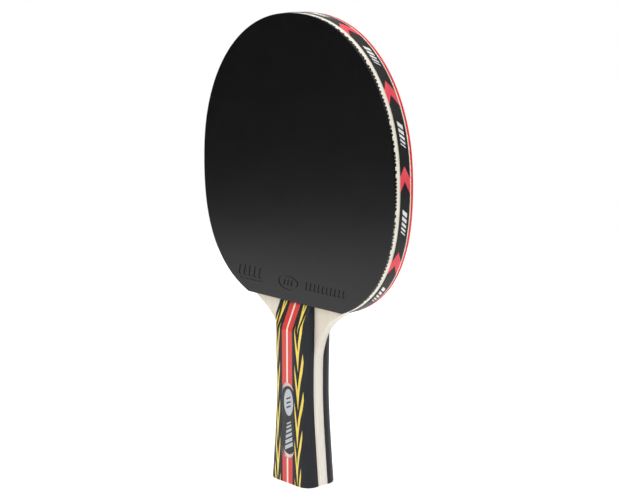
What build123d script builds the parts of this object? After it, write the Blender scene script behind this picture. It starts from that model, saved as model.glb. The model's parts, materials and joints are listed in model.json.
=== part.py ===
"""Table tennis paddle: a five-ply blade, two pips-in rubber sheets and a flared, laminated handle.

Millimetres. The origin is the middle of the butt end, +Z runs along the handle to the head,
-Y points out of the black face (the front) and +X is to the right when looking at that face.
"""

import os
from math import acos, ceil, cos, degrees, floor, hypot, radians, sin, sqrt

from build123d import *

# Head outline: two half superellipses that meet at the widest line
HEAD_HALF_WIDTH = 75.0
HEAD_WIDEST_Z = 168.1
HEAD_RISE = 83.05
HEAD_RISE_POWER = 2.136
HEAD_DROP = 74.15
HEAD_DROP_POWER = 2.52
RUBBER_LINE_Z = 99.3
HEAD_CURVE_STEPS = 7

# Neck and handle outline: x and z of points on the right-hand side
NECK_POINTS = ((28.9, 94.8), (20.8, 88.6), (15.9, 81.4), (13.5, 74.5))
NECK_END = (12.55, 68.0)
SCALE_TOP_Z = 99.2
GRIP_POINTS = ((16.25, 0), (14.55, 18), (13.1, 35), (12.35, 54), NECK_END, (13.0, 86), (13.1, SCALE_TOP_Z))
BUTT_SLOPE = (-0.11, 1)
BUTT_EDGE_RADIUS = 0.8

# Blade plies, from the middle outwards
CORE_THICKNESS = 4.1
INNER_PLY_THICKNESS = 0.65
FACE_PLY_THICKNESS = 0.55
CORE_FACE = CORE_THICKNESS / 2
INNER_PLY_FACE = CORE_FACE + INNER_PLY_THICKNESS
BLADE_FACE = INNER_PLY_FACE + FACE_PLY_THICKNESS

# Rubber: sponge, then a topsheet made of short inward pips under a smooth skin
SPONGE_THICKNESS = 1.6
PIP_HEIGHT = 0.9
SKIN_THICKNESS = 0.75
SPONGE_FACE = BLADE_FACE + SPONGE_THICKNESS
PIP_TOP = SPONGE_FACE + PIP_HEIGHT
RUBBER_FACE = PIP_TOP + SKIN_THICKNESS
PIP_RADIUS = 0.8
PIP_PITCH = 2.1
PIP_BAND = 2.4
SKIN_EDGE_RADIUS = 0.2

# Marks moulded into the black skin. Rows of bars: centre x and z, count, pitch, bar width, height
MARK_DEPTH = 0.3
MARK_ROWS = (
    (-35.4, 110.8, 5, 4.2, 2.3, 5.6),
    (25.0, 109.6, 10, 3.15, 1.9, 4.0),
)
MARK_LEAN = -14
UNDERLINE_CENTRE = (-34.4, 106.6)
UNDERLINE_LENGTH = 19.0
UNDERLINE_WIDTH = 0.9
OVAL_CENTRE = (-4.0, 109.4)
OVAL_WIDTH = 16.0
OVAL_HEIGHT = 8.2
OVAL_GROOVE = 1.0
OVAL_BARS = 3
OVAL_BAR_PITCH = 2.8
OVAL_BAR_WIDTH = 1.2
OVAL_BAR_HEIGHT = 3.2

# Edge tape
TAPE_THICKNESS = 0.3
TAPE_WIDTH = 6.7
TAPE_BACK_EDGE = 4.15

# Handle scales
SCALE_FACE = 11.5
SCALE_TOP_FACE = 5.2
CREASE_Z = 85.6
CREASE_RADIUS = 6.0
SCALE_CORNER_RADIUS = 6.8
RAMP_EDGE_RADIUS = 2.0

# Laminated strips of a scale, measured from a middle line that lies a little to the right of x = 0:
# the white strip's half width, then name, inner edge and outer edge of each pair
LAMINATE_MIDDLE_X = 0.35
WHITE_HALF_WIDTH = 0.6
STRIP_PAIRS = (
    ("red_strip", 0.6, 4.05),
    ("veneer", 4.05, 5.15),
    ("pattern_strip", 5.15, 10.65),
    ("cheek", 10.65, 20.0),
)

# Badge let into the front scale
BADGE_X = 0.55
BADGE_Z = 35.3
BADGE_LENGTH = 42.0
BADGE_WIDTH = 9.8
BADGE_POCKET_DEPTH = 0.7
BADGE_RISE = 0.6
BADGE_DOME_RADIUS = 0.55
FILM_LENGTH = 37.8
FILM_WIDTH = 9.3
FILM_THICKNESS = 0.15
OVAL_FILM_X = 0.9
OVAL_FILM_Z = 45.3
OVAL_FILM_LENGTH = 14.8
OVAL_FILM_WIDTH = 7.2


def superellipse_point(half_width, rise, power, turn):
    """Point of a superellipse about its centre; turn is in degrees from its tip to its side."""
    x = half_width * sin(radians(turn)) ** (2 / power)
    z = rise * cos(radians(turn)) ** (2 / power)
    return x, z


def head_points(grow, bottom_z):
    """Head outline from its left lower corner over the crown to the right one, grown by a margin."""
    half_width = HEAD_HALF_WIDTH + grow
    drop = HEAD_DROP + grow
    corner_height = (HEAD_WIDEST_Z - bottom_z) / drop
    corner_turn = degrees(acos(corner_height ** (HEAD_DROP_POWER / 2)))
    right = []
    for step in range(1, HEAD_CURVE_STEPS + 1):
        x, z = superellipse_point(half_width, HEAD_RISE + grow, HEAD_RISE_POWER, 90 * step / HEAD_CURVE_STEPS)
        right.append((x, HEAD_WIDEST_Z + z))
    for step in range(1, HEAD_CURVE_STEPS + 1):
        turn = 90 + (corner_turn - 90) * step / HEAD_CURVE_STEPS
        x, z = superellipse_point(half_width, drop, HEAD_DROP_POWER, turn)
        right.append((x, HEAD_WIDEST_Z - z))
    left = [(-x, z) for x, z in reversed(right)]
    return left + [(0, HEAD_WIDEST_Z + HEAD_RISE + grow)] + right


def head_face(grow, bottom_z):
    """Flat head shape, drawn in X and Z, cut straight across at bottom_z."""
    with BuildSketch(Plane.XZ) as outline:
        with BuildLine():
            curve = Spline(*head_points(grow, bottom_z))
            Line(curve @ 1, curve @ 0)
        make_face()
    return outline.sketch_local


def edge_distance(x, z):
    """Rough distance from a point to the rubber's outline, positive inside."""
    rise, power = (HEAD_RISE, HEAD_RISE_POWER) if z > HEAD_WIDEST_Z else (HEAD_DROP, HEAD_DROP_POWER)
    reach = (abs(x) / HEAD_HALF_WIDTH) ** power + (abs(z - HEAD_WIDEST_Z) / rise) ** power
    size = reach ** (1 / power)
    radius = hypot(x, z - HEAD_WIDEST_Z)
    return min(radius / size - radius, z - RUBBER_LINE_Z)


def rim_pip_points():
    """Centres of the hexagonally spaced pips that lie close to the rubber's edge."""
    row_height = PIP_PITCH * sqrt(3) / 2
    first_row = floor(RUBBER_LINE_Z / row_height)
    last_row = ceil((HEAD_WIDEST_Z + HEAD_RISE) / row_height)
    columns = ceil(HEAD_HALF_WIDTH / PIP_PITCH) + 1
    points = []
    for row in range(first_row, last_row + 1):
        z = row * row_height
        shift = PIP_PITCH / 2 * (row % 2)
        for column in range(-columns, columns + 1):
            x = column * PIP_PITCH + shift
            if -PIP_RADIUS < edge_distance(x, z) < PIP_BAND + PIP_RADIUS:
                points.append((x, z))
    return points


# Outlines that several pieces share, drawn in X and Z
RUBBER_SHAPE = head_face(0, RUBBER_LINE_Z)

with BuildSketch(Plane.XZ) as grip_outline:
    with BuildLine():
        grip_side = Spline(*GRIP_POINTS, tangents=(BUTT_SLOPE, (0, 1)))
        Line((0, 0), grip_side @ 0)
        Line(grip_side @ 1, (0, SCALE_TOP_Z))
        mirror(about=Plane.YZ)
    make_face()

with BuildSketch(Plane.XZ) as blade_outline:
    with BuildLine():
        blade_head = Spline(*head_points(0, RUBBER_LINE_Z))
        flare = grip_side.trim(0, grip_side.param_at_point(NECK_END))
        neck = Spline(blade_head @ 1, *NECK_POINTS, NECK_END, tangents=(blade_head % 1, -(flare % 1)))
        butt = Line(flare @ 0, (0, 0))
        add(flare)
        mirror((neck, flare, butt), about=Plane.YZ)
    make_face()
    butt_corners = blade_outline.vertices().group_by(Axis.Y)[0].group_by(Axis.X)
    fillet(butt_corners[0] + butt_corners[-1], BUTT_EDGE_RADIUS)

os.makedirs("parts", exist_ok=True)


# Blade
def ply(label, inner_face, thickness, outwards):
    """One ply of the blade, lying on the plane y = inner_face and growing along outwards."""
    with BuildPart() as layer:
        with BuildSketch(Plane.XZ.offset(-inner_face)):
            add(blade_outline.sketch_local)
        extrude(amount=thickness, dir=outwards)
    layer.part.label = label
    export_step(layer.part, f"parts/{label}.step")


FRONT = Vector(0, -1, 0)
BACK = Vector(0, 1, 0)

ply("blade_core", -CORE_FACE, CORE_THICKNESS, BACK)
ply("blade_inner_ply_front", -CORE_FACE, INNER_PLY_THICKNESS, FRONT)
ply("blade_inner_ply_back", CORE_FACE, INNER_PLY_THICKNESS, BACK)
ply("blade_face_ply_front", -INNER_PLY_FACE, FACE_PLY_THICKNESS, FRONT)
ply("blade_face_ply_back", INNER_PLY_FACE, FACE_PLY_THICKNESS, BACK)

# Sponges, laid on the front face and mirrored to the back
with BuildPart() as sponge_front:
    with BuildSketch(Plane.XZ.offset(BLADE_FACE)):
        add(RUBBER_SHAPE)
    extrude(amount=SPONGE_THICKNESS)
sponge_front.part.label = "sponge_front"
export_step(sponge_front.part, "parts/sponge_front.step")

with BuildPart() as sponge_back:
    add(sponge_front.part)
    mirror(about=Plane.XZ, mode=Mode.REPLACE)
sponge_back.part.label = "sponge_back"
export_step(sponge_back.part, "parts/sponge_back.step")

# Topsheet: the skin, a rim of separate pips and one slab for the closed field of pips behind the rim
with BuildPart() as topsheet_blank:
    with BuildSketch(Plane.XZ.offset(PIP_TOP)):
        add(RUBBER_SHAPE)
    extrude(amount=SKIN_THICKNESS)
    fillet(topsheet_blank.faces().sort_by(Axis.Y)[0].edges(), SKIN_EDGE_RADIUS)
    with BuildSketch(Plane.XZ.offset(SPONGE_FACE)):
        add(head_face(-PIP_BAND, RUBBER_LINE_Z + PIP_BAND))
        with Locations(*rim_pip_points()):
            Circle(PIP_RADIUS)
        add(RUBBER_SHAPE, mode=Mode.INTERSECT)
    extrude(amount=PIP_HEIGHT)

with BuildPart() as topsheet_front:
    add(topsheet_blank.part)
    with BuildSketch(Plane.XZ.offset(RUBBER_FACE)):
        with Locations(OVAL_CENTRE):
            Ellipse(OVAL_WIDTH / 2, OVAL_HEIGHT / 2)
            Ellipse(OVAL_WIDTH / 2 - OVAL_GROOVE, OVAL_HEIGHT / 2 - OVAL_GROOVE, mode=Mode.SUBTRACT)
            with GridLocations(OVAL_BAR_PITCH, 1, OVAL_BARS, 1):
                Rectangle(OVAL_BAR_WIDTH, OVAL_BAR_HEIGHT, rotation=MARK_LEAN)
        for centre_x, centre_z, count, pitch, width, height in MARK_ROWS:
            with Locations((centre_x, centre_z)):
                with GridLocations(pitch, 1, count, 1):
                    Rectangle(width, height, rotation=MARK_LEAN)
        with Locations(UNDERLINE_CENTRE):
            SlotOverall(UNDERLINE_LENGTH, UNDERLINE_WIDTH)
    extrude(amount=-MARK_DEPTH, mode=Mode.SUBTRACT)
topsheet_front.part.label = "topsheet_front"
export_step(topsheet_front.part, "parts/topsheet_front.step")

with BuildPart() as topsheet_back:
    add(topsheet_blank.part)
    mirror(about=Plane.XZ, mode=Mode.REPLACE)
topsheet_back.part.label = "topsheet_back"
export_step(topsheet_back.part, "parts/topsheet_back.step")

# Edge tape, open at the bottom where the rubber is cut straight
with BuildPart() as edge_tape:
    with BuildSketch(Plane.XZ.offset(-TAPE_BACK_EDGE)):
        add(head_face(TAPE_THICKNESS, RUBBER_LINE_Z + TAPE_THICKNESS))
        add(RUBBER_SHAPE, mode=Mode.SUBTRACT)
    extrude(amount=TAPE_WIDTH)
edge_tape.part.label = "edge_tape"
export_step(edge_tape.part, "parts/edge_tape.step")


def side_edges(bar):
    """The edges that run along both sides of a bar's outermost face."""
    return bar.faces().sort_by(Axis.Y)[0].edges().sort_by(Axis.Z)[1:-1]


with BuildPart() as rounded_bar:
    with BuildSketch(Plane.XZ):
        add(grip_outline.sketch_local)
    extrude(amount=SCALE_FACE)
    fillet(side_edges(rounded_bar), SCALE_CORNER_RADIUS)

# A whole handle scale before it is cut into strips: ramped down to the rubber line
with BuildPart() as scale_blank:
    with BuildSketch(Plane.XZ):
        add(grip_outline.sketch_local)
    extrude(amount=SCALE_FACE)
    with BuildSketch(Plane.YZ) as side_profile:
        with BuildLine():
            Polyline(
                (0, 0),
                (-SCALE_FACE, 0),
                (-SCALE_FACE, CREASE_Z),
                (-SCALE_TOP_FACE, SCALE_TOP_Z),
                (0, SCALE_TOP_Z),
                close=True,
            )
        make_face()
        crease = side_profile.vertices().sort_by_distance((-SCALE_FACE, CREASE_Z))[0]
        fillet(crease, CREASE_RADIUS)
    extrude(amount=HEAD_HALF_WIDTH, both=True, mode=Mode.INTERSECT)
    ramp = scale_blank.faces().filter_by(GeomType.PLANE).filter_by(lambda f: 0.1 < -f.normal_at().Y < 0.99)[0]
    ramp_sides = ramp.edges().group_by(Axis.X)
    fillet(ramp_sides[0] + ramp_sides[-1], RAMP_EDGE_RADIUS)
    add(rounded_bar.part, mode=Mode.INTERSECT)
    butt_edges = scale_blank.faces().sort_by(Axis.Z)[0].edges().filter_by(lambda e: e.center().Y < -0.01)
    fillet(butt_edges, BUTT_EDGE_RADIUS)
    split(bisect_by=Plane.XZ.offset(BLADE_FACE), keep=Keep.TOP)

with BuildPart() as back_blank:
    add(scale_blank.part)
    mirror(about=Plane.XZ, mode=Mode.REPLACE)

with BuildPart() as front_blank:
    add(scale_blank.part)
    with BuildSketch(Plane.XZ.offset(SCALE_FACE)):
        with Locations((BADGE_X, BADGE_Z)):
            SlotOverall(BADGE_LENGTH, BADGE_WIDTH, rotation=90)
    extrude(amount=-BADGE_POCKET_DEPTH, mode=Mode.SUBTRACT)


def strip(blank, label, left, right):
    """One strip of a laminated scale: the slice of the blank between two distances from the middle line."""
    with BuildPart() as section:
        add(blank)
        with BuildSketch(Plane.XZ):
            with Locations((LAMINATE_MIDDLE_X + (left + right) / 2, SCALE_TOP_Z / 2)):
                Rectangle(right - left, 2 * SCALE_TOP_Z)
        extrude(amount=2 * SCALE_FACE, both=True, mode=Mode.INTERSECT)
    section.part.label = label
    export_step(section.part, f"parts/{label}.step")


for side, blank in (("front", front_blank.part), ("back", back_blank.part)):
    strip(blank, f"{side}_white_strip", -WHITE_HALF_WIDTH, WHITE_HALF_WIDTH)
    for name, inner, outer in STRIP_PAIRS:
        strip(blank, f"{side}_{name}_left", -outer, -inner)
        strip(blank, f"{side}_{name}_right", inner, outer)

# Badge: a dark printed film with a silver oval, both under a clear domed lens
with BuildPart() as badge_film:
    with BuildSketch(Plane.XZ.offset(SCALE_FACE - BADGE_POCKET_DEPTH)):
        with Locations((BADGE_X, BADGE_Z)):
            SlotOverall(FILM_LENGTH, FILM_WIDTH, rotation=90)
    extrude(amount=FILM_THICKNESS)
badge_film.part.label = "badge_film"
export_step(badge_film.part, "parts/badge_film.step")

with BuildPart() as badge_oval:
    with BuildSketch(Plane.XZ.offset(SCALE_FACE - BADGE_POCKET_DEPTH + FILM_THICKNESS)):
        with Locations((OVAL_FILM_X, OVAL_FILM_Z)):
            Ellipse(OVAL_FILM_WIDTH / 2, OVAL_FILM_LENGTH / 2)
    extrude(amount=FILM_THICKNESS)
badge_oval.part.label = "badge_oval"
export_step(badge_oval.part, "parts/badge_oval.step")

with BuildPart() as badge_lens:
    with BuildSketch(Plane.XZ.offset(SCALE_FACE - BADGE_POCKET_DEPTH)):
        with Locations((BADGE_X, BADGE_Z)):
            SlotOverall(BADGE_LENGTH, BADGE_WIDTH, rotation=90)
    extrude(amount=BADGE_POCKET_DEPTH + BADGE_RISE)
    fillet(badge_lens.faces().sort_by(Axis.Y)[0].edges(), BADGE_DOME_RADIUS)
    add(badge_film.part, mode=Mode.SUBTRACT)
    add(badge_oval.part, mode=Mode.SUBTRACT)
badge_lens.part.label = "badge_lens"
export_step(badge_lens.part, "parts/badge_lens.step")
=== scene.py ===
import json
import math
from bisect import bisect_left

import bmesh
import bpy
from mathutils import Matrix, Vector, noise
from mathutils.bvhtree import BVHTree
from mathutils.geometry import delaunay_2d_cdt


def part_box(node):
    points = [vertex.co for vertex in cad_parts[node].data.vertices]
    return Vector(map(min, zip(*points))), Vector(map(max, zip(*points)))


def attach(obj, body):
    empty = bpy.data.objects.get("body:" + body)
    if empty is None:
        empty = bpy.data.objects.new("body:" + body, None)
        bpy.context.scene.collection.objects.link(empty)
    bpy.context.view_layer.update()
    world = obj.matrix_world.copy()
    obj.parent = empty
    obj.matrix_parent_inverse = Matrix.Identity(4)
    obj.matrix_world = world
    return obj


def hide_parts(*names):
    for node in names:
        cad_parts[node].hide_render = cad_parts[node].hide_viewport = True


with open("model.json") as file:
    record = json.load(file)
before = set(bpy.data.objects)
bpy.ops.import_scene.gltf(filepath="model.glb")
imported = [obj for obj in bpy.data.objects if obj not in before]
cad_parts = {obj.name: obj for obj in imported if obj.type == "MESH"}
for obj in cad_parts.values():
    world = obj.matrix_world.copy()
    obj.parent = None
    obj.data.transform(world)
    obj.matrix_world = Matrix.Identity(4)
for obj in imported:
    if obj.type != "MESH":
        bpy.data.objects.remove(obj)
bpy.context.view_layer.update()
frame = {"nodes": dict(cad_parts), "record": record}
nodes = frame["nodes"]
MM = 0.001


def add_node(tree, kind, **values):
    """Adds a shader node and sets its inputs, whose names have _ for a space."""
    node = tree.nodes.new("ShaderNode" + kind)
    for socket, value in values.items():
        node.inputs[socket.replace("_", " ")].default_value = value
    return node


# ---------------------------------------------------------------- camera, floor and light

# Camera at the photograph's viewing angle, with its lens and sensor in mm
CAMERA_PLACE = Vector((0.613326, -0.544578, 0.284368))
CAMERA_AIM = Vector((0.002291, 0.002558, 0.126654))
CAMERA_ROLL = math.radians(-0.0967)
CAMERA_LENS = 91.9
CAMERA_SENSOR = 36.0

# Room seen in reflections: dim below the horizon's height, bright above the ceiling's
ROOM_LIGHT = 0.6
HORIZON_HEIGHT = 0.10
HORIZON_GREY = (0.02, 0.02, 0.02, 1)
CEILING_HEIGHT = 0.75
WHITE = (1, 1, 1, 1)

# Backdrop seen in reflections: its direction, its strength and the cosines where it starts and is full
BACKDROP_WAY = (-0.744, 0.660, 0.100)
BACKDROP_LIGHT = 2.5
BACKDROP_EDGE = 0.93
BACKDROP_FULL = 0.985

# Floor disc, which glows in front of the paddle and fades out behind it
FLOOR_RADIUS = 0.68
FLOOR_SIDES = 96
FLOOR_COLOUR = (0.9, 0.9, 0.9, 1)
FLOOR_ROUGHNESS = 0.6
FLOOR_LIGHT = 0.45
FLOOR_DIM = 0.05
FLOOR_FADE_START_Y = -0.05
FLOOR_FADE_END_Y = 0.15

# Round area lights: name, place, aim, width and power
LIGHTS = (
    ("key", (1.0, -0.35, 1.1), (0, 0, 0.13), 0.8, 7.8),
    ("front", (-0.35, -1.2, 1.0), (0, 0, 0.13), 0.8, 8.6),
    ("top", (0.0, 0.1, 1.4), (0, 0, 0), 1.0, 3.5),
    ("back", (0.0, 1.3, 0.35), (0, 0, 0.13), 0.8, 5.2),
)


def make_camera():
    data = bpy.data.cameras.new("camera")
    data.lens = CAMERA_LENS
    data.sensor_width = CAMERA_SENSOR
    cam = bpy.data.objects.new("camera", data)
    bpy.context.scene.collection.objects.link(cam)
    aim = (CAMERA_AIM - CAMERA_PLACE).to_track_quat("-Z", "Y").to_matrix().to_4x4()
    roll = Matrix.Rotation(CAMERA_ROLL, 4, "Z")
    cam.matrix_world = Matrix.Translation(CAMERA_PLACE) @ aim @ roll
    bpy.context.scene.camera = cam


def make_world():
    """White to the camera, and a room with a lit backdrop to everything else."""
    world = bpy.data.worlds.new("studio")
    bpy.context.scene.world = world
    world.use_nodes = True
    tree = world.node_tree
    tree.nodes.clear()
    way = add_node(tree, "TexCoord").outputs["Generated"]

    split = add_node(tree, "SeparateXYZ")
    ramp = add_node(tree, "ValToRGB")
    horizon, ceiling = ramp.color_ramp.elements
    horizon.position = HORIZON_HEIGHT
    horizon.color = HORIZON_GREY
    ceiling.position = CEILING_HEIGHT
    ceiling.color = WHITE
    room = add_node(tree, "Background", Strength=ROOM_LIGHT)
    tree.links.new(way, split.inputs[0])
    tree.links.new(split.outputs["Z"], ramp.inputs["Fac"])
    tree.links.new(ramp.outputs["Color"], room.inputs["Color"])

    facing = add_node(tree, "VectorMath")
    facing.operation = "DOT_PRODUCT"
    facing.inputs[1].default_value = BACKDROP_WAY
    fade = add_node(tree, "MapRange", From_Min=BACKDROP_EDGE, From_Max=BACKDROP_FULL, To_Max=BACKDROP_LIGHT)
    backdrop = add_node(tree, "Background")
    tree.links.new(way, facing.inputs[0])
    tree.links.new(facing.outputs["Value"], fade.inputs["Value"])
    tree.links.new(fade.outputs["Result"], backdrop.inputs["Strength"])

    both = add_node(tree, "AddShader")
    seen = add_node(tree, "Background", Color=WHITE)
    mix = add_node(tree, "MixShader")
    out = add_node(tree, "OutputWorld")
    tree.links.new(room.outputs[0], both.inputs[0])
    tree.links.new(backdrop.outputs[0], both.inputs[1])
    tree.links.new(add_node(tree, "LightPath").outputs["Is Camera Ray"], mix.inputs[0])
    tree.links.new(both.outputs[0], mix.inputs[1])
    tree.links.new(seen.outputs[0], mix.inputs[2])
    tree.links.new(mix.outputs[0], out.inputs["Surface"])


def floor_material():
    """Pale floor that glows in front of the paddle, and all over for the camera."""
    material = bpy.data.materials.new("floor")
    material.use_nodes = True
    tree = material.node_tree
    surface = tree.nodes["Principled BSDF"]
    surface.inputs["Base Color"].default_value = FLOOR_COLOUR
    surface.inputs["Roughness"].default_value = FLOOR_ROUGHNESS
    surface.inputs["Emission Color"].default_value = WHITE
    split = add_node(tree, "SeparateXYZ")
    fade = add_node(tree, "MapRange", From_Min=FLOOR_FADE_START_Y, From_Max=FLOOR_FADE_END_Y)
    fade.inputs["To Min"].default_value = FLOOR_LIGHT
    fade.inputs["To Max"].default_value = FLOOR_DIM
    shown = add_node(tree, "Math")
    shown.operation = "MULTIPLY"
    shown.inputs[1].default_value = FLOOR_LIGHT
    strength = add_node(tree, "Math")
    strength.operation = "MAXIMUM"
    tree.links.new(add_node(tree, "TexCoord").outputs["Object"], split.inputs[0])
    tree.links.new(split.outputs["Y"], fade.inputs["Value"])
    tree.links.new(add_node(tree, "LightPath").outputs["Is Camera Ray"], shown.inputs[0])
    tree.links.new(fade.outputs["Result"], strength.inputs[0])
    tree.links.new(shown.outputs[0], strength.inputs[1])
    tree.links.new(strength.outputs[0], surface.inputs["Emission Strength"])
    return material


def make_floor():
    mesh = bpy.data.meshes.new("floor")
    bm = bmesh.new()
    bmesh.ops.create_circle(bm, cap_ends=True, segments=FLOOR_SIDES, radius=FLOOR_RADIUS)
    bm.to_mesh(mesh)
    bm.free()
    mesh.materials.append(floor_material())
    floor = bpy.data.objects.new("floor", mesh)
    bpy.context.scene.collection.objects.link(floor)


def area_light(name, place, aim, width, power):
    data = bpy.data.lights.new(name, "AREA")
    data.shape = "DISK"
    data.size = width
    data.energy = power
    light = bpy.data.objects.new(name, data)
    bpy.context.scene.collection.objects.link(light)
    light.location = place
    light.rotation_mode = "QUATERNION"
    light.rotation_quaternion = (Vector(aim) - Vector(place)).to_track_quat("-Z", "Y")


make_camera()
make_world()
make_floor()
for light_values in LIGHTS:
    area_light(*light_values)
bpy.context.scene.view_settings.view_transform = "Standard"


# ---------------------------------------------------------------- materials

# Noise scales in features per metre along X, Y and Z, the noise values between which a colour
# changes, how far the noise moves the roughness down and up, and depths of the relief in metres
GRAIN_STREAKS = (1500, 1500, 18)
GRAIN_BANDS = (260, 260, 6)
GRAIN_PORES = (4200, 4200, 90)
STREAK_SPAN = (0.35, 0.62)
BAND_SHARE = 0.35
WOOD_ROUGHNESS_SPAN = (-0.06, 0.1)
PORE_DEPTH = 0.00002
CLOUDS = (90, 90, 90)
CLOUD_SPAN = (0.3, 0.7)
SHEEN_PATCHES = (30, 30, 60)
SMOOTH_ROUGHNESS_SPAN = (-0.02, 0.03)
SURFACE_GRAIN = (1600, 1600, 1600)

# Resin: its tint and waves, roughness, index of refraction, the Fresnel value where its shine
# starts to show, and how much of it shows at a grazing angle
RESIN_TINT = (60, 60, 60)
RESIN_DARK = (0.93, 0.94, 0.95)
RESIN_LIGHT = (1, 1, 1)
RESIN_WAVES = (260, 260, 260)
RESIN_WAVE_DEPTH = 0.000005
RESIN_WAVE_STRENGTH = 0.4
RESIN_ROUGHNESS = 0.28
RESIN_IOR = 1.5
RESIN_SHINE_START = 0.06
RESIN_SHINE = 0.6

# Woods: darker and lighter colour of the grain, roughness and index of refraction
WOODS = {
    "core_wood": ((0.72, 0.67, 0.585), (0.86, 0.825, 0.75), 0.45, 1.5),
    "ply_wood": ((0.64, 0.53, 0.46), (0.82, 0.74, 0.67), 0.45, 1.5),
    "face_wood": ((0.70, 0.62, 0.51), (0.80, 0.73, 0.62), 0.45, 1.5),
    "white_wood": ((0.79, 0.63, 0.55), (0.90, 0.74, 0.66), 0.35, 1.5),
    "red_wood": ((0.53, 0.030, 0.023), (0.69, 0.058, 0.044), 0.35, 1.5),
    "black_wood": ((0.005, 0.0065, 0.010), (0.013, 0.016, 0.023), 0.45, 1.38),
    "yellow_print": ((0.66, 0.46, 0.05), (0.95, 0.73, 0.13), 0.35, 1.5),
}

# Foam, rubbers, films and inks: darker and lighter colour, roughness, index of refraction and
# depth of the surface grain
SMOOTH = {
    "sponge": ((0.86, 0.80, 0.67), (0.96, 0.92, 0.81), 0.8, 1.5, 0.00002),
    "black_rubber": ((0.005, 0.005, 0.0055), (0.0065, 0.0065, 0.0072), 0.25, 1.41, 0.0000005),
    "red_rubber": ((0.88, 0.036, 0.033), (0.94, 0.044, 0.040), 0.36, 1.5, 0.0000008),
    "tape": ((0.012, 0.012, 0.012), (0.018, 0.018, 0.018), 0.42, 1.36, 0.000003),
    "arrow_red": ((0.76, 0.062, 0.094), (0.90, 0.094, 0.118), 0.42, 1.36, 0.000003),
    "mark_white": ((0.75, 0.75, 0.75), (0.88, 0.88, 0.88), 0.42, 1.36, 0.000003),
    "badge_film": ((0.055, 0.055, 0.058), (0.064, 0.064, 0.068), 0.45, 1.4, 0.000003),
    "silver_film": ((0.63, 0.665, 0.70), (0.70, 0.735, 0.77), 0.4, 1.4, 0.000003),
}


class Shader:
    """A material and short calls that wire its nodes."""

    def __init__(self, name, roughness, **values):
        self.material = bpy.data.materials.new(name)
        self.material.use_nodes = True
        self.tree = self.material.node_tree
        self.surface = self.tree.nodes["Principled BSDF"]
        self.surface.inputs["Roughness"].default_value = roughness
        for socket, value in values.items():
            self.surface.inputs[socket].default_value = value
        self.coords = add_node(self.tree, "TexCoord").outputs["Object"]

    def link(self, output, socket):
        self.tree.links.new(output, self.surface.inputs[socket])

    def noise(self, scale, detail, roughness=0.55):
        """Noise with scale (x, y, z) in features per metre."""
        mapping = add_node(self.tree, "Mapping", Scale=scale)
        node = add_node(self.tree, "TexNoise", Scale=1.0, Detail=detail, Roughness=roughness)
        self.tree.links.new(self.coords, mapping.inputs["Vector"])
        self.tree.links.new(mapping.outputs[0], node.inputs["Vector"])
        return node.outputs["Fac"]

    def ramp(self, fac, span, dark, light):
        """Colour that goes from dark to light as fac goes over its span."""
        node = add_node(self.tree, "ValToRGB")
        first, last = node.color_ramp.elements
        first.position, last.position = span
        first.color = (*dark, 1)
        last.color = (*light, 1)
        self.tree.links.new(fac, node.inputs["Fac"])
        return node.outputs["Color"]

    def blend(self, share, a, b):
        """Colour a with a share of colour b."""
        node = add_node(self.tree, "Mix")
        node.data_type = "RGBA"
        node.inputs[0].default_value = share
        self.tree.links.new(a, node.inputs[6])
        self.tree.links.new(b, node.inputs[7])
        return node.outputs[2]

    def spread(self, fac, low, high, start=0.0):
        """Value that goes from low, where fac is start, to high, where it is 1."""
        node = add_node(self.tree, "MapRange", From_Min=start, To_Min=low, To_Max=high)
        self.tree.links.new(fac, node.inputs["Value"])
        return node.outputs["Result"]

    def vary_roughness(self, fac, middle, span):
        self.link(self.spread(fac, middle + span[0], middle + span[1]), "Roughness")

    def bump(self, height, distance, strength=1.0):
        node = add_node(self.tree, "Bump", Distance=distance, Strength=strength)
        self.tree.links.new(height, node.inputs["Height"])
        self.link(node.outputs["Normal"], "Normal")


def wood(name, dark, light, roughness, ior):
    """Straight-grained wood with the grain along Z."""
    s = Shader(name, roughness, IOR=ior)
    streaks = s.noise(GRAIN_STREAKS, detail=6, roughness=0.6)
    fine = s.ramp(streaks, STREAK_SPAN, dark, light)
    wide = s.ramp(s.noise(GRAIN_BANDS, detail=2), CLOUD_SPAN, dark, light)
    s.link(s.blend(BAND_SHARE, fine, wide), "Base Color")
    s.vary_roughness(streaks, roughness, WOOD_ROUGHNESS_SPAN)
    s.bump(s.noise(GRAIN_PORES, detail=4), PORE_DEPTH)
    return s.material


def smooth(name, dark, light, roughness, ior, grain_depth):
    """Foam, rubber, film or ink with faint clouds and patches of sheen."""
    s = Shader(name, roughness, IOR=ior)
    s.link(s.ramp(s.noise(CLOUDS, detail=4), CLOUD_SPAN, dark, light), "Base Color")
    s.vary_roughness(s.noise(SHEEN_PATCHES, detail=3), roughness, SMOOTH_ROUGHNESS_SPAN)
    s.bump(s.noise(SURFACE_GRAIN, detail=3), grain_depth)
    return s.material


def resin(name):
    """Clear resin: only its reflections show, over what lies under it."""
    s = Shader(name, RESIN_ROUGHNESS, Metallic=1.0)
    s.link(s.ramp(s.noise(RESIN_TINT, detail=2), CLOUD_SPAN, RESIN_DARK, RESIN_LIGHT), "Base Color")
    shine = add_node(s.tree, "Fresnel", IOR=RESIN_IOR)
    s.link(s.spread(shine.outputs[0], 0.0, RESIN_SHINE, RESIN_SHINE_START), "Alpha")
    s.bump(s.noise(RESIN_WAVES, detail=2), RESIN_WAVE_DEPTH, RESIN_WAVE_STRENGTH)
    return s.material


MATERIALS = {name: wood(name, *look) for name, look in WOODS.items()}
MATERIALS.update((name, smooth(name, *look)) for name, look in SMOOTH.items())
MATERIALS["lens"] = resin("lens")
MATERIALS["pattern_wood"] = MATERIALS["black_wood"]

for entry in frame["record"]["subparts"]:
    body = nodes[entry["node"]]
    body.data.materials.clear()
    body.data.materials.append(MATERIALS[entry["material_slot"]])


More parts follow.
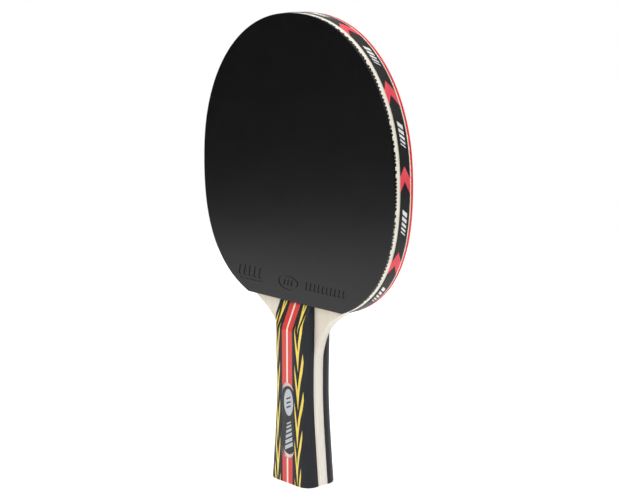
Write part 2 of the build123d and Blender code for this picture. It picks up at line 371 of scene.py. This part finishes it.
# ---------------------------------------------------------------- pieces that stand for a CAD node

MERGE_DISTANCE = 1e-7
SHARP_ANGLE = math.radians(40)
GROUND = 0
FIRST_INK = 1
SECOND_INK = 2


def steps(low, high, size):
    """Evenly spaced values from low to high, about size apart."""
    count = max(1, round((high - low) / size))
    return [low + (high - low) * i / count for i in range(count + 1)]


def surface_of(node):
    """Ray-casting tree of a CAD node's mesh, which is in frame coordinates."""
    mesh = nodes[node].data
    places = [vertex.co.copy() for vertex in mesh.vertices]
    faces = [list(face.vertices) for face in mesh.polygons]
    return BVHTree.FromPolygons(places, faces)


def finish_piece(bm, name, node, materials):
    """Makes the mesh code's result a piece that rides on the root and replaces a CAD node."""
    bmesh.ops.remove_doubles(bm, verts=bm.verts, dist=MERGE_DISTANCE)
    bmesh.ops.recalc_face_normals(bm, faces=bm.faces)
    mesh = bpy.data.meshes.new(name)
    bm.to_mesh(mesh)
    bm.free()
    for material in materials:
        mesh.materials.append(MATERIALS[material])
    mesh.polygons.foreach_set("use_smooth", [True] * len(mesh.polygons))
    mesh.set_sharp_from_angle(angle=SHARP_ANGLE)
    piece = bpy.data.objects.new(name, mesh)
    bpy.context.scene.collection.objects.link(piece)
    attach(piece, "root")
    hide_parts(node)


def ring_piece(rings, name, node, slot):
    """A closed piece skinned over a stack of rings with equal numbers of points."""
    bm = bmesh.new()
    loops = [[bm.verts.new(p) for p in ring] for ring in rings]
    for lower, upper in zip(loops, loops[1:]):
        for i in range(len(lower)):
            j = (i + 1) % len(lower)
            bm.faces.new([lower[i], lower[j], upper[j], upper[i]])
    bm.faces.new(loops[0])
    bm.faces.new(loops[-1])
    finish_piece(bm, name, node, [slot])


def inside(point, shape):
    """Whether a flat point lies in a closed outline."""
    x, y = point
    hit = False
    for (ax, ay), (bx, by) in zip(shape, shape[1:] + shape[:1]):
        if (ay > y) != (by > y) and x < ax + (y - ay) * (bx - ax) / (by - ay):
            hit = not hit
    return hit


def cut_sheet(outline, rulings, prints):
    """Cuts a convex flat sheet along straight rulings and the outlines of its prints.

    prints holds pairs of an ink and an outline. Returns the sheet's points, its triangles and what
    each triangle shows: an ink, or the bare ground.
    """
    lines = [(outline, True)]
    lines += [(ruling, False) for ruling in rulings]
    lines += [(shape, True) for _, shape in prints]
    points, edges = [], []
    for line, closed in lines:
        first = len(points)
        points.extend(Vector(p) for p in line)
        edges.extend((first + i, first + i + 1) for i in range(len(line) - 1))
        if closed:
            edges.append((len(points) - 1, first))
    cut = delaunay_2d_cdt(points, edges, [], 0, MERGE_DISTANCE)
    places, triangles = cut[0], cut[2]
    inks = []
    for triangle in triangles:
        centre = sum((places[i] for i in triangle), Vector((0, 0))) / len(triangle)
        inks.append(next((ink for ink, shape in prints if inside(centre, shape)), GROUND))
    return places, triangles, inks


def sheet_piece(sheet, top, bottom, name, node, slot, ink_materials):
    """A closed piece between a top and a bottom surface over a cut sheet.

    The ground has the slot's material, and ink_materials names those of the first ink and on.
    """
    places, triangles, inks = sheet
    bm = bmesh.new()
    upper = [bm.verts.new(top(p)) for p in places]
    lower = [bm.verts.new(bottom(p)) for p in places]
    edge_inks = {}
    for triangle, ink in zip(triangles, inks):
        bm.faces.new([upper[i] for i in triangle]).material_index = ink
        bm.faces.new([lower[i] for i in reversed(triangle)]).material_index = GROUND
        for edge in zip(triangle, triangle[1:] + triangle[:1]):
            edge_inks[edge] = ink
    for (a, b), ink in edge_inks.items():
        if (b, a) not in edge_inks:
            bm.faces.new([upper[b], upper[a], lower[a], lower[b]]).material_index = ink
    finish_piece(bm, name, node, [slot, *ink_materials])


# ---------------------------------------------------------------- patterned strips of the handle

# A flame's outline in mm: distance from the strip's inner edge and height above its vertex
FLAME = (
    (2.9, 0.0), (3.5, 9.8), (4.2, 16.2), (4.95, 21.0), (5.4, 26.5), (5.2, 31.4), (4.15, 23.5), (3.15, 16.3),
    (2.7, 11.2), (2.4, 13.0), (1.6, 19.2), (0.6, 25.0), (0.75, 19.0), (1.5, 12.6), (2.25, 6.0),
)
FLAME_FIRST_Z = 0.5
FLAME_PITCH = 20.9
FLAME_NUMBERS = range(-2, 6)

# The strip's mesh in mm: columns across it, then rows from the butt's rounded edge, up the grip,
# round the crease and up the ramp. The rays that find its surface stay RAY_INSET inside its edges
# and start RAY_START out from the blade's middle.
COLUMN_SIZE = 0.25
BUTT_EDGE_Z = 0.9
BUTT_EDGE_ROW = 0.15
GRIP_ROW = 3
CREASE_LOW_Z = 83.5
CREASE_HIGH_Z = 88
CREASE_ROW = 0.4
RAMP_ROW = 1.5
RAY_INSET = 0.004
RAY_START = 50


def clip_band(shape, low, high):
    """Cuts a flat outline to the heights from low to high."""
    for limit, keep_above in ((low, True), (high, False)):
        kept = []
        for (ax, ay), (bx, by) in zip(shape, shape[1:] + shape[:1]):
            a_in = ay >= limit if keep_above else ay <= limit
            b_in = by >= limit if keep_above else by <= limit
            if a_in:
                kept.append((ax, ay))
            if a_in != b_in:
                kept.append((ax + (bx - ax) * (limit - ay) / (by - ay), limit))
        shape = kept
    return shape


def flames(inner_x, outer_x, top_z):
    """Printed flames of a strip, cut off at the strip's edges."""
    shapes = []
    for number in FLAME_NUMBERS:
        vertex_z = FLAME_FIRST_Z + FLAME_PITCH * number
        flame = [(min(inner_x / MM + across, outer_x / MM), vertex_z + z) for across, z in FLAME]
        flame = clip_band(flame, 0.0, top_z / MM)
        if len(flame) > 2:
            shapes.append((FIRST_INK, [(x * MM, z * MM) for x, z in flame]))
    return shapes


def pattern_strip(side, hand):
    """Patterned strip of a handle scale, with flames inlaid in its outer face."""
    node = f"{side}_pattern_strip_{hand}"
    low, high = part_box(node)
    turn = 1 if hand == "right" else -1
    out = -1 if side == "front" else 1
    inner_x, outer_x = sorted((abs(low[0]), abs(high[0])))
    top_z = high[2]
    glue_y = max(low[1], high[1]) if side == "front" else min(low[1], high[1])
    tree = surface_of(node)
    inset = RAY_INSET * MM

    bands = [(0, BUTT_EDGE_Z * MM, BUTT_EDGE_ROW * MM)]
    bands.append((CREASE_LOW_Z * MM, CREASE_HIGH_Z * MM, CREASE_ROW * MM))
    bands.append((BUTT_EDGE_Z * MM, CREASE_LOW_Z * MM, GRIP_ROW * MM))
    bands.append((CREASE_HIGH_Z * MM, top_z, RAMP_ROW * MM))
    heights = sorted({z for band in bands for z in steps(*band)})
    outline = [(inner_x, 0), (outer_x, 0), (outer_x, top_z), (inner_x, top_z)]
    rulings = [[(x, 0), (x, top_z)] for x in steps(inner_x, outer_x, COLUMN_SIZE * MM)[1:-1]]
    rulings += [[(inner_x, z), (outer_x, z)] for z in heights[1:-1]]

    def top(p):
        x = min(max(p[0], inner_x + inset), outer_x - inset)
        z = min(max(p[1], inset), top_z - inset)
        hit = tree.ray_cast(Vector((turn * x, out * RAY_START * MM, z)), Vector((0, -out, 0)))[0]
        return turn * p[0], hit[1], p[1]

    def bottom(p):
        return turn * p[0], glue_y, p[1]

    sheet = cut_sheet(outline, rulings, flames(inner_x, outer_x, top_z))
    sheet_piece(sheet, top, bottom, f"{side}_flame_strip_{hand}", node, "pattern_wood", ["yellow_print"])


for side in ("front", "back"):
    for hand in ("left", "right"):
        pattern_strip(side, hand)


# ---------------------------------------------------------------- edge tape

# Rays that find a head-shaped node's outer line, in mm: height of the point they aim at, the turn
# between them, how far out they start, and how far over the lower edge the one at the corner runs
HEAD_MIDDLE_Z = 168
HEAD_TURN_STEP = math.radians(0.5)
HEAD_RAY_START = 200
HEAD_CORNER_RISE = 0.02

# Red arrows, in mm along the tape from the crown and, for their parts, from an arrow's tip. Shoulders
# and tails are given at the tape's front edge and its back edge.
ARROW_FIRST = 28.0
ARROW_PITCH = 43.7
ARROW_COUNT = 6
ARROW_SHOULDERS = (4.7, 6.4)
ARROW_TAILS = (12.4, 14.3)
ARROW_NOTCH = 7.6
ARROW_SHIFT = 0.5

# White slanted marks in mm: how far before an arrow's tip they start, their widths and the gap
# between them, and half their height and slant
MARK_LEAD = 21.2
MARK_WIDTHS = (2.3, 1.9, 1.5, 1.1, 0.7)
MARK_GAP = 1.0
MARK_REACH = 1.6
MARK_SLANT = 1.2

# The tape in mm: its thickness, the width of its bevels and how deep they go, how far the waves'
# mean lies under the CAD surface, and its mesh along and across. Then the waves in its surface:
# noise per metre along and across the tape, phase, and height in mm.
TAPE_THICKNESS = 0.3
TAPE_BEVEL = 0.2
TAPE_BEVEL_DROP = 0.12
TAPE_SINK = 0.03
TAPE_STEP = 1.2
TAPE_ROW = 1.05
TAPE_WAVES = ((240, 330, 0, 0.05), (60, 80, 7, 0.04))


def head_line(node):
    """Outer line of a flat head-shaped node from its lower left end over the crown, as (x, z) points."""
    low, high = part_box(node)
    tree = surface_of(node)
    middle_y = (low[1] + high[1]) / 2
    centre = Vector((0, middle_y, HEAD_MIDDLE_Z * MM))
    reach = HEAD_RAY_START * MM
    corner = Vector((reach, middle_y, low[2] + HEAD_CORNER_RISE * MM))
    end = tree.ray_cast(corner, Vector((-1, 0, 0)))[0]
    last = math.atan2(end[0], end[2] - centre[2])
    line = []
    for turn in steps(0, last, HEAD_TURN_STEP):
        way = Vector((math.sin(turn), 0, math.cos(turn)))
        hit = tree.ray_cast(centre + way * reach, -way)[0] or end
        line.append((hit[0], hit[2]))
    right = [line[0]]
    for before, here, after in zip(line, line[1:], line[2:]):
        right.append(tuple((a + 2 * h + b) / 4 for a, h, b in zip(before, here, after)))
    right.append((end[0], low[2]))
    return [(-x, z) for x, z in reversed(right[1:])] + right


def arrow_shape(tip, spine, front, back):
    """Outline of an arrow that points to the crown, along the tape and across it."""
    near_front, near_back = (tip + shoulder * MM for shoulder in ARROW_SHOULDERS)
    far_front, far_back = (tip + tail * MM for tail in ARROW_TAILS)
    notch = tip + ARROW_NOTCH * MM
    shape = [(tip, spine), (near_back, back), (far_back, back)]
    return shape + [(notch, spine), (far_front, front), (near_front, front)]


def tape_prints(half, front, back):
    """Arrows in the first ink and marks in the second, on both halves of the tape from the crown."""
    middle = (front + back) / 2
    lean, up = MARK_SLANT * MM, MARK_REACH * MM
    prints = []
    for number in range(ARROW_COUNT):
        tip = (ARROW_FIRST + ARROW_PITCH * number) * MM
        shapes = [(FIRST_INK, arrow_shape(tip, middle - ARROW_SHIFT * MM, front, back))]
        start = tip - MARK_LEAD * MM
        for width in MARK_WIDTHS:
            stop = start + width * MM
            mark = [(start - lean, middle - up), (stop - lean, middle - up)]
            mark += [(stop + lean, middle + up), (start + lean, middle + up)]
            shapes.append((SECOND_INK, mark))
            start = stop + MARK_GAP * MM
        for ink, shape in shapes:
            if max(arc for arc, _ in shape) < half:
                prints.append((ink, shape))
                prints.append((ink, [(-arc, y) for arc, y in shape]))
    return prints


def edge_tape():
    low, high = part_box("edge_tape")
    front, back = low[1], high[1]
    line = head_line("edge_tape")
    arcs = [0.0]
    for a, b in zip(line, line[1:]):
        arcs.append(arcs[-1] + math.dist(a, b))
    half = arcs[-1] / 2
    arcs = [a - half for a in arcs]

    def place(arc):
        """Point of the outer line and the outward direction there."""
        arc = min(max(arc, -half), half)
        i = max(1, min(len(arcs) - 2, bisect_left(arcs, arc)))
        share = (arc - arcs[i - 1]) / (arcs[i] - arcs[i - 1])
        a, b = Vector(line[i - 1]), Vector(line[i])
        before, after = Vector(line[max(0, i - 2)]), Vector(line[i + 1])
        along = (b - before).lerp(after - a, share).normalized()
        return a.lerp(b, share), Vector((-along[1], along[0]))

    def surface(p, lift):
        spot, out = place(p[0])
        spot = spot + out * lift
        return spot[0], p[1], spot[1]

    bevel = TAPE_BEVEL * MM
    outline = [(-half, front), (half, front), (half, back), (-half, back)]
    rulings = [[(arc, front), (arc, back)] for arc in steps(-half, half, TAPE_STEP * MM)[1:-1]]
    rows = steps(front + bevel, back - bevel, TAPE_ROW * MM)
    rulings += [[(-half, y), (half, y)] for y in rows]

    def top(p):
        lift = -TAPE_SINK
        for along, across, phase, height in TAPE_WAVES:
            lift += noise.noise(Vector((p[0] * along, p[1] * across, phase))) * height
        if min(p[1] - front, back - p[1]) < bevel / 2:
            lift -= TAPE_BEVEL_DROP
        return surface(p, lift * MM)

    def bottom(p):
        return surface(p, -TAPE_THICKNESS * MM)

    sheet = cut_sheet(outline, rulings, tape_prints(half, front, back))
    sheet_piece(sheet, top, bottom, "edge_tape_print", "edge_tape", "tape", ["arrow_red", "mark_white"])


edge_tape()


# ---------------------------------------------------------------- sponges

# Foam pressed up between the outer pips, in mm: how far in from the rim it starts, how high it
# rises on each side and how wide the raised ring is
FOAM_INSET = 0.08
FOAM_RISES = {"front": 0.6, "back": 0.3}
FOAM_RING = 2.0


def sponge(side):
    node = f"sponge_{side}"
    low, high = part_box(node)
    out = -1 if side == "front" else 1
    glue_y, face_y = (high[1], low[1]) if side == "front" else (low[1], high[1])
    line = [Vector(p) for p in head_line(node)]
    ways = []
    for before, after in zip(line[:1] + line[:-1], line[1:] + line[-1:]):
        along = (after - before).normalized()
        ways.append(Vector((along[1], -along[0])))

    def ring(inset, y):
        places = [p + way * inset for p, way in zip(line, ways)]
        return [(x, y, max(z, low[2] + inset)) for x, z in places]

    top_y = face_y + out * FOAM_RISES[side] * MM
    inset, reach = FOAM_INSET * MM, FOAM_RING * MM
    profile = [(0, glue_y), (0, face_y), (inset, face_y)]
    profile += [(inset, top_y), (reach, top_y), (reach, face_y)]
    ring_piece([ring(*point) for point in profile], f"sponge_{side}_foam", node, "sponge")


sponge("front")
sponge("back")


# ---------------------------------------------------------------- badge

# Slanted bars on the film in mm: where they start, height and half width of each, and the gap
FILM_BARS_X = 0.9
FILM_BARS_Z = 20.0
FILM_BARS = ((2.2, 3.1), (2.0, 2.8), (1.8, 2.5), (1.5, 2.2), (1.2, 1.9), (0.9, 1.6))
FILM_BAR_GAP = 0.95
FILM_BAR_SLOPE = 0.55

# Slanted bars on the oval in mm: heights from its middle, half width, half height and lean
OVAL_BARS = (-2.4, 0.0, 2.4)
OVAL_BAR_REACH = 1.7
OVAL_BAR_HALF = 0.45
OVAL_BAR_LEAN = 0.8
OVAL_SIDES = 64

# Dome in mm: gap over the film, height of the upright wall and width of the rounded shoulder, then
# the turn between the shoulder's rings and the number of sides in each end's half circle
DOME_GAP = 0.02
DOME_WALL = 0.72
DOME_SHOULDER = 2.4
DOME_TURN_STEP = math.pi / 20
SLOT_END_SIDES = 20


def slot_outline(x, z, length, width):
    """Outline of an upright slot with round ends."""
    radius = width / 2
    straight = length / 2 - radius
    shape = []
    for i in range(2 * SLOT_END_SIDES):
        turn = math.pi * (i + 0.5) / SLOT_END_SIDES
        lift = straight if turn < math.pi else -straight
        shape.append((x + radius * math.cos(turn), z + lift + radius * math.sin(turn)))
    return shape


def oval_outline(x, z, length, width):
    shape = []
    for i in range(OVAL_SIDES):
        turn = math.tau * i / OVAL_SIDES
        shape.append((x + width / 2 * math.cos(turn), z + length / 2 * math.sin(turn)))
    return shape


def slanted_bar(left, right, low, high, lean):
    """A printed bar whose left end is lowered and right end raised by lean."""
    shape = [(left, low - lean), (right, low + lean), (right, high + lean), (left, high - lean)]
    return FIRST_INK, shape


def face_of(node):
    """Middle x and z, length and width of a flat upright node."""
    low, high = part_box(node)
    return (low[0] + high[0]) / 2, (low[2] + high[2]) / 2, high[2] - low[2], high[0] - low[0]


def film_piece(node, slot, outline, bars, ink_material):
    """Flat printed film in place of a CAD node."""
    low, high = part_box(node)

    def top(p):
        return p[0], low[1], p[1]

    def bottom(p):
        return p[0], high[1], p[1]

    sheet_piece(cut_sheet(outline, [], bars), top, bottom, f"{node}_print", node, slot, [ink_material])


def badge_film():
    bars = []
    start = FILM_BARS_Z
    for height, reach in FILM_BARS:
        left, right = (FILM_BARS_X - reach) * MM, (FILM_BARS_X + reach) * MM
        lean = reach * FILM_BAR_SLOPE * MM
        bars.append(slanted_bar(left, right, start * MM, (start + height) * MM, lean))
        start += height + FILM_BAR_GAP
    outline = slot_outline(*face_of("badge_film"))
    film_piece("badge_film", "badge_film", outline, bars, "silver_film")


def badge_oval():
    x, z, length, width = face_of("badge_oval")
    reach, lean = OVAL_BAR_REACH * MM, OVAL_BAR_LEAN * MM
    bars = []
    for shift in OVAL_BARS:
        low, high = z + (shift - OVAL_BAR_HALF) * MM, z + (shift + OVAL_BAR_HALF) * MM
        bars.append(slanted_bar(x - reach, x + reach, low, high, lean))
    film_piece("badge_oval", "silver_film", oval_outline(x, z, length, width), bars, "badge_film")


def badge_dome():
    low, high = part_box("badge_lens")
    x, z, length, width = face_of("badge_lens")
    floor_y, crown_y = high[1] - DOME_GAP * MM, low[1]
    wall_y = floor_y - DOME_WALL * MM
    profile = [(0.0, floor_y), (0.0, wall_y)]
    for turn in steps(0, math.pi / 2, DOME_TURN_STEP)[1:]:
        inset = DOME_SHOULDER * MM * (1 - math.cos(turn))
        profile.append((inset, wall_y + (crown_y - wall_y) * math.sin(turn)))
    rings = []
    for inset, y in profile:
        outline = slot_outline(x, z, length - 2 * inset, width - 2 * inset)
        rings.append([(px, y, pz) for px, pz in outline])
    ring_piece(rings, "badge_dome", "badge_lens", "lens")


badge_film()
badge_oval()
badge_dome()
